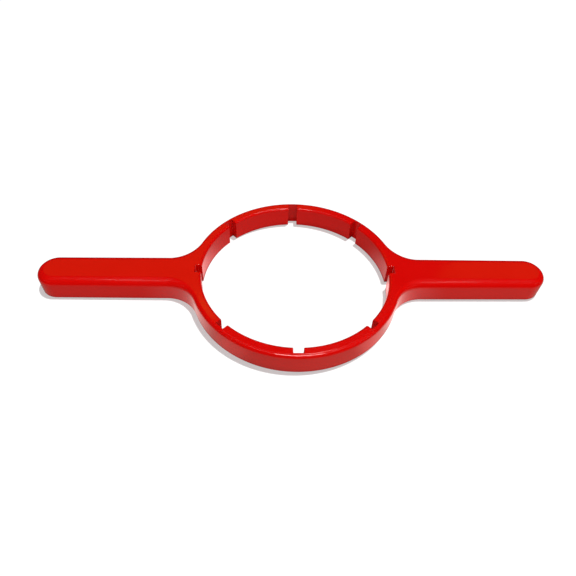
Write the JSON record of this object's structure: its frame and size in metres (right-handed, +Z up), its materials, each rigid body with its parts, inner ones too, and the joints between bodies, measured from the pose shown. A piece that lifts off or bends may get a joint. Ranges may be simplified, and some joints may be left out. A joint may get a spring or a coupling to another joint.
{
  "type": "fire hydrant wrench",
  "caption": "Ring spanner for hydrant outlet caps: a ring slotted inside for the cap's lugs, with a straight rounded handle flaring out of each side.",
  "frame": {"origin": "on the ring's axis, in the plane of the ribbed underside that the tool rests on", "axes": "+Z up along the ring's axis, +X along the right handle, +Y across the handles"},
  "size_m": [0.4086, 0.168, 0.019],
  "materials": {
    "red_plastic": "gloss moulded red, slightly uneven"
  },
  "bodies": {
    "root": {"ring_head": "red_plastic", "left_handle": "red_plastic", "right_handle": "red_plastic"}
  },
  "joints": []
}
